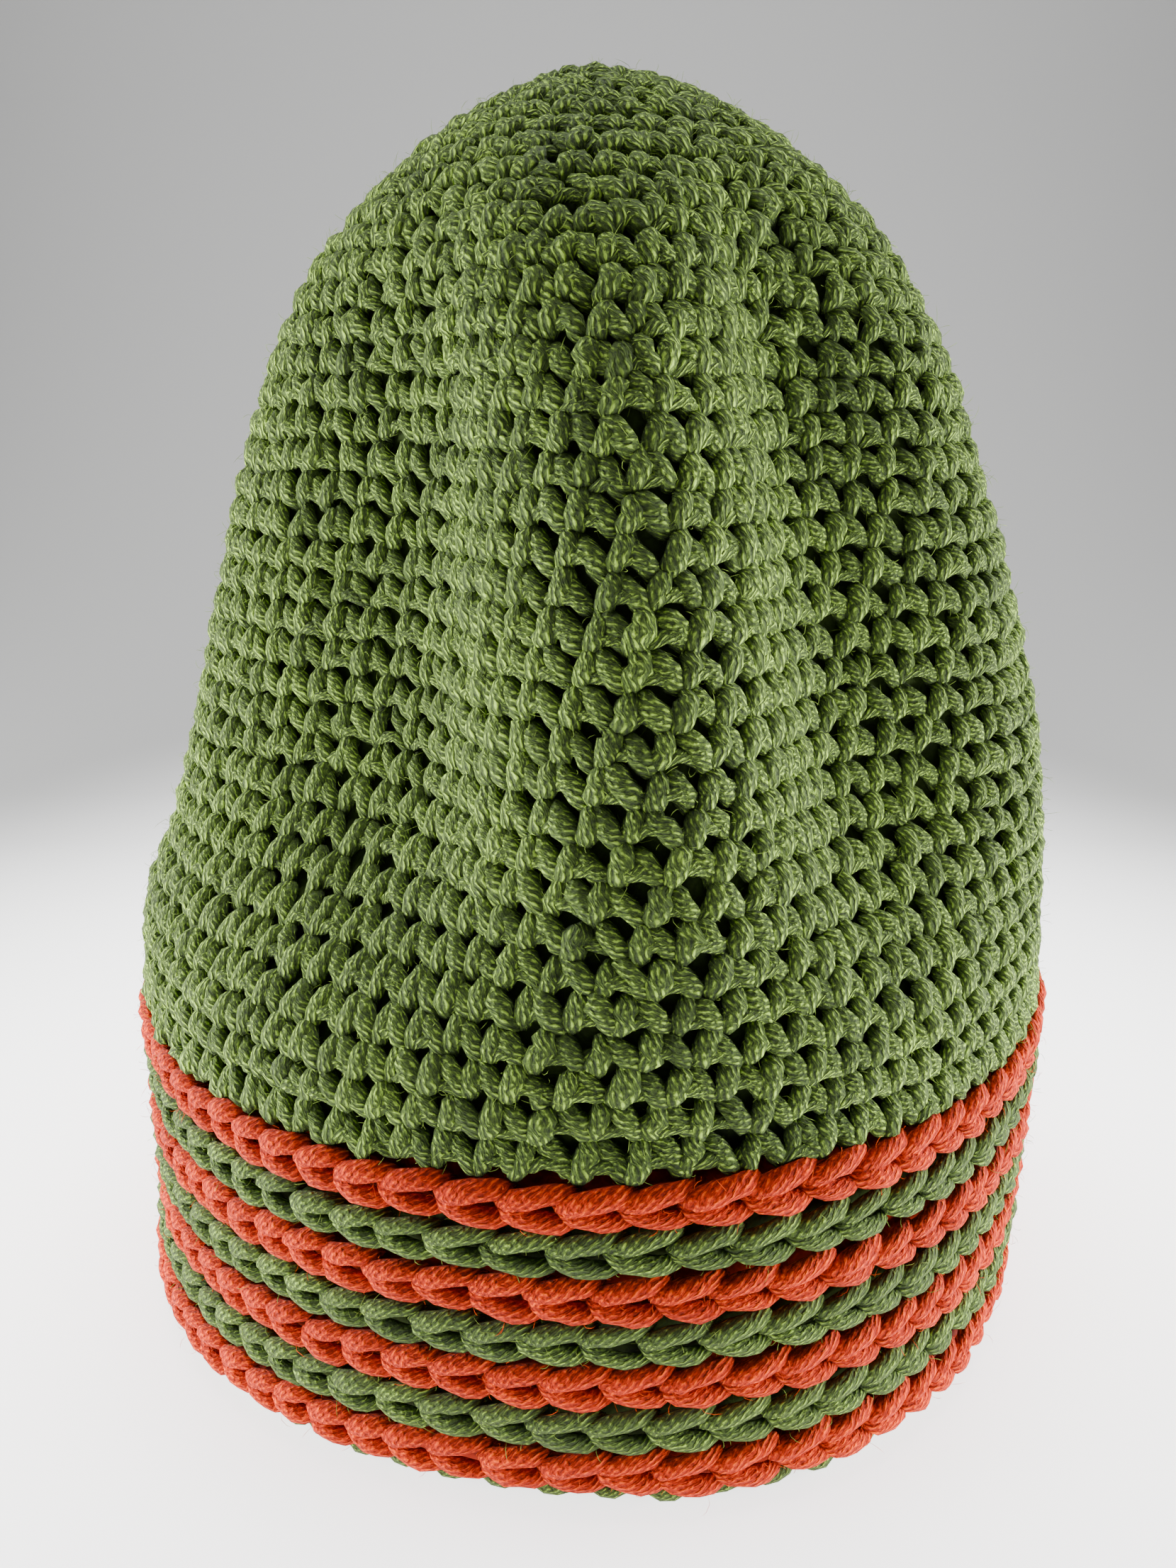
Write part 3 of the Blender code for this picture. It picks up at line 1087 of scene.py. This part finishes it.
class BEANIE_OT_crown(bpy.types.Operator):
    """Lay the crown's stitches, outside and inside"""

    bl_idname = "beanie.crown"
    bl_label = "Crown Stitches"

    def execute(self, context):
        settings = context.scene.beanie_crown
        yarn = context.scene.beanie_yarn
        random = np.random.default_rng(yarn.seed)
        green = bpy.data.materials["green yarn"]
        rows = crown_rows(settings)
        # The lower rows are the longest, so the lower pieces hold fewer of them
        ends = [int(rows * share) for share in CROWN_STRETCHES.values()][:-1]
        stretches = np.split(np.arange(rows), ends)
        for name, stretch in zip(CROWN_STRETCHES, stretches):
            strands = [
                crown_strands(strand, stretch, settings, random)
                for strand in (FAT_ARM, THIN_ARM, ARCH)
            ]
            if stretch[-1] == rows - 1:
                strands.append(closing_strands(settings, random))
            stitches = joined(strands, name)
            add_piece(stitches, f"crown_stitches_{name}", green, "crown")
        bumps = crown_strands(BACK_BUMP, range(rows), settings, random)
        places = np.linspace(0.0, LAST_PLACE, SHELL_ROWS)
        outside = [(SHELL_OUTSIDE, place) for place in places]
        inside = [(SHELL_INSIDE, place) for place in reversed(places)]
        shell = spun_shell(outside + inside, SHELL_COLUMNS, crown_shell_point)
        add_piece(joined([bumps, shell], "inside"), "crown_inside", green, "crown")
        return {"FINISHED"}


class BEANIE_OT_rounds(bpy.types.Operator):
    """Lay the raised rounds of chain links round the band"""

    bl_idname = "beanie.rounds"
    bl_label = "Raised Rounds"

    def execute(self, context):
        settings = context.scene.beanie_band
        yarn = context.scene.beanie_yarn
        random = np.random.default_rng(yarn.seed + 1)
        for number, node in enumerate(STRIPES):
            colour = node.split("_")[0]
            middle = HEM_HEIGHT + (number + 0.5) * ROUND_PITCH
            phase = random.uniform()
            look = ROUND_YARNS[colour]
            strands = [
                round_strands(strand, middle, phase, ROUND_PITCH, look, settings, random)
                for strand in (UPPER_LEG, LOWER_LEG, INNER_BUMP)
            ]
            half = 0.5 * ROUND_PITCH
            core = ring_core(middle - half, middle + half, CORE_INSIDE, CORE_OUTSIDE)
            add_piece(joined([*strands, core], node), f"{node}_links",
                      bpy.data.materials[f"{colour} yarn"], node)
        return {"FINISHED"}


class BEANIE_OT_hem(bpy.types.Operator):
    """Lay the narrow green round that the hat stands on"""

    bl_idname = "beanie.hem"
    bl_label = "Hem"

    def execute(self, context):
        settings = context.scene.beanie_band
        yarn = context.scene.beanie_yarn
        random = np.random.default_rng(yarn.seed + 2)
        strands = round_strands(
            HEM_LOOP, 0.5 * HEM_HEIGHT, 0.0, HEM_HEIGHT, HEM_YARN, settings, random, jog=0.0
        )
        inner = HEM_INSET + BAND_WALL - HEM_CORE_INSIDE
        core = ring_core(HEM_CORE_LIFT, HEM_HEIGHT, inner, -HEM_INSET - HEM_CORE_OUTSIDE)
        add_piece(joined([strands, core], "hem"), "hem_round_loops",
                  bpy.data.materials["green yarn"], "hem_round")
        return {"FINISHED"}


class BEANIE_OT_fibres(bpy.types.Operator):
    """Scatter the loose fibres that stand off the stitches"""

    bl_idname = "beanie.fibres"
    bl_label = "Loose Fibres"

    def execute(self, context):
        yarn = context.scene.beanie_yarn
        random = np.random.default_rng(yarn.seed + 3)
        crown = {f"crown_stitches_{name}": "crown" for name in CROWN_STRETCHES}
        rounds = {f"{node}_links": node for node in STRIPES}
        for name, node in (crown | rounds).items():
            colour = "orange" if "orange" in name else "green"
            count = yarn.crown_fibres if name in crown else yarn.round_fibres
            full_tone = 1.0 if name in crown else ROUND_YARNS[colour].tone
            mesh = scattered_fibres(bpy.data.objects[name].data, count, full_tone, random)
            add_piece(mesh, f"{name}_fibres", bpy.data.materials[f"loose {colour} yarn"],
                      node)
        return {"FINISHED"}


class BEANIE_OT_yarns(bpy.types.Operator):
    """Make the two yarns"""

    bl_idname = "beanie.yarns"
    bl_label = "Yarns"

    def execute(self, context):
        yarn = context.scene.beanie_yarn
        yarn_material("green yarn", yarn.green_ply_shade, yarn.green, yarn.green_ply_highlight)
        yarn_material("orange yarn", yarn.orange_ply_shade, yarn.orange, yarn.orange_ply_highlight)
        loose_fibre_material("loose green yarn", yarn.green_loose)
        loose_fibre_material("loose orange yarn", yarn.orange_loose)
        return {"FINISHED"}


class BEANIE_OT_stage(bpy.types.Operator):
    """Set the floor, the lights and the camera"""

    bl_idname = "beanie.stage"
    bl_label = "Stage"

    def execute(self, context):
        settings = context.scene.beanie_stage
        self.floor(settings)
        self.lights(settings)
        self.camera(context, settings)
        return {"FINISHED"}

    def floor(self, settings):
        """Pale sheet that runs from the floor up into a backdrop in one sweep."""
        shape = bmesh.new()
        start = SHEET_BACK - SHEET_BEND
        profile = [(SHEET_FRONT, 0.0), (start, 0.0)]
        for step in range(1, BEND_STEPS + 1):
            angle = 0.5 * math.pi * step / BEND_STEPS
            along = start + SHEET_BEND * math.sin(angle)
            profile.append((along, SHEET_BEND * (1.0 - math.cos(angle))))
        profile.append((SHEET_BACK, SHEET_TOP))
        verts = [shape.verts.new((-SHEET_HALF_WIDTH, y, z)) for y, z in profile]
        edges = [shape.edges.new(pair) for pair in zip(verts, verts[1:])]
        swept = bmesh.ops.extrude_edge_only(shape, edges=edges)
        moved = [part for part in swept["geom"] if isinstance(part, bmesh.types.BMVert)]
        bmesh.ops.translate(shape, verts=moved, vec=(2.0 * SHEET_HALF_WIDTH, 0.0, 0.0))
        bmesh.ops.recalc_face_normals(shape, faces=shape.faces)
        mesh = bpy.data.meshes.new("backdrop")
        shape.to_mesh(mesh)
        shape.free()
        mesh.shade_smooth()
        maker = NodeMaker("backdrop paper")
        place = maker.node("ShaderNodeTexCoord", output=3)
        reach = maker.node("ShaderNodeVectorMath", {"operation": "LENGTH"}, {0: place}, output=1)
        # Paler and glowing near the hat and darker away from it: a painted pool of light and
        # painted shade on the sheet.
        away = ((reach - POOL_REACH) / POOL_FADE).clamped()
        away = away * away * (3.0 - away * 2.0)
        shade = maker.blend(away, (*settings.floor, 1.0), (*settings.backdrop, 1.0))
        glows = ((glow, glow, glow, 1.0) for glow in (POOL_GLOW, SHEET_GLOW))
        glow = maker.blend(away, *glows)
        paper = maker.finish({
            "Base Color": shade, "Roughness": 0.9,
            "Emission Color": glow, "Emission Strength": 1.0,
        })
        mesh.materials.append(paper)
        sheet = bpy.data.objects.new("backdrop", mesh)
        bpy.context.scene.collection.objects.link(sheet)

    def lights(self, settings):
        """A low light at each side, one high above, and a little light from all round."""
        places = (
            ("left", (-0.40, -0.02, 0.06), (0.36, 0.10), settings.side_power),
            ("right", (0.40, -0.02, 0.06), (0.36, 0.10), 0.95 * settings.side_power),
            ("top", (0.0, 0.20, 0.85), (0.7, 0.7), settings.top_power),
        )
        for name, place, size, power in places:
            data = bpy.data.lights.new(f"{name} light", "AREA")
            data.shape = "RECTANGLE"
            data.size, data.size_y = size
            data.energy = power
            lamp = bpy.data.objects.new(f"{name} light", data)
            lamp.location = place
            way = LIGHT_TARGET - Vector(place)
            lamp.rotation_euler = way.to_track_quat("-Z", "Y").to_euler()
            bpy.context.scene.collection.objects.link(lamp)
        world = bpy.data.worlds.new("room")
        world.use_nodes = True
        background = world.node_tree.nodes["Background"]
        background.inputs["Color"].default_value = (1.0, 1.0, 1.0, 1.0)
        background.inputs["Strength"].default_value = ROOM_LIGHT
        bpy.context.scene.world = world

    def camera(self, context, settings):
        data = bpy.data.cameras.new("camera")
        data.lens = settings.lens
        data.sensor_width = 36.0
        data.sensor_fit = "AUTO"
        data.clip_start = 0.01
        camera = bpy.data.objects.new("camera", data)
        camera.location = settings.camera_place
        camera.rotation_euler = (0.5 * math.pi - settings.camera_dip, 0.0, 0.0)
        context.scene.collection.objects.link(camera)
        context.scene.camera = camera


class BEANIE_PT_sidebar(bpy.types.Panel):
    bl_idname = "BEANIE_PT_sidebar"
    bl_label = "Beanie"
    bl_space_type = "VIEW_3D"
    bl_region_type = "UI"
    bl_category = "Beanie"

    def draw(self, context):
        for group, operators in PANEL_BOXES.items():
            box = self.layout.box()
            for name in SETTINGS[group].__annotations__:
                box.prop(getattr(context.scene, group), name)
            for operator in operators:
                box.operator(operator)


SETTINGS = {
    "beanie_yarn": YarnSettings,
    "beanie_crown": CrownSettings,
    "beanie_band": BandSettings,
    "beanie_stage": StageSettings,
}
PANEL_BOXES = {
    "beanie_yarn": ("beanie.yarns", "beanie.fibres"),
    "beanie_crown": ("beanie.crown",),
    "beanie_band": ("beanie.rounds", "beanie.hem"),
    "beanie_stage": ("beanie.stage",),
}
CLASSES = (
    *SETTINGS.values(),
    BEANIE_OT_yarns,
    BEANIE_OT_crown,
    BEANIE_OT_rounds,
    BEANIE_OT_hem,
    BEANIE_OT_fibres,
    BEANIE_OT_stage,
    BEANIE_PT_sidebar,
)


def register():
    for kind in CLASSES:
        bpy.utils.register_class(kind)
    for name, kind in SETTINGS.items():
        setattr(bpy.types.Scene, name, PointerProperty(type=kind))


def unregister():
    for name in SETTINGS:
        delattr(bpy.types.Scene, name)
    for kind in reversed(CLASSES):
        bpy.utils.unregister_class(kind)


def main():
    register()
    bpy.ops.beanie.stage()
    bpy.ops.beanie.yarns()
    bpy.ops.beanie.crown()
    bpy.ops.beanie.rounds()
    bpy.ops.beanie.hem()
    bpy.ops.beanie.fibres()


if __name__ == "__main__":
    main()
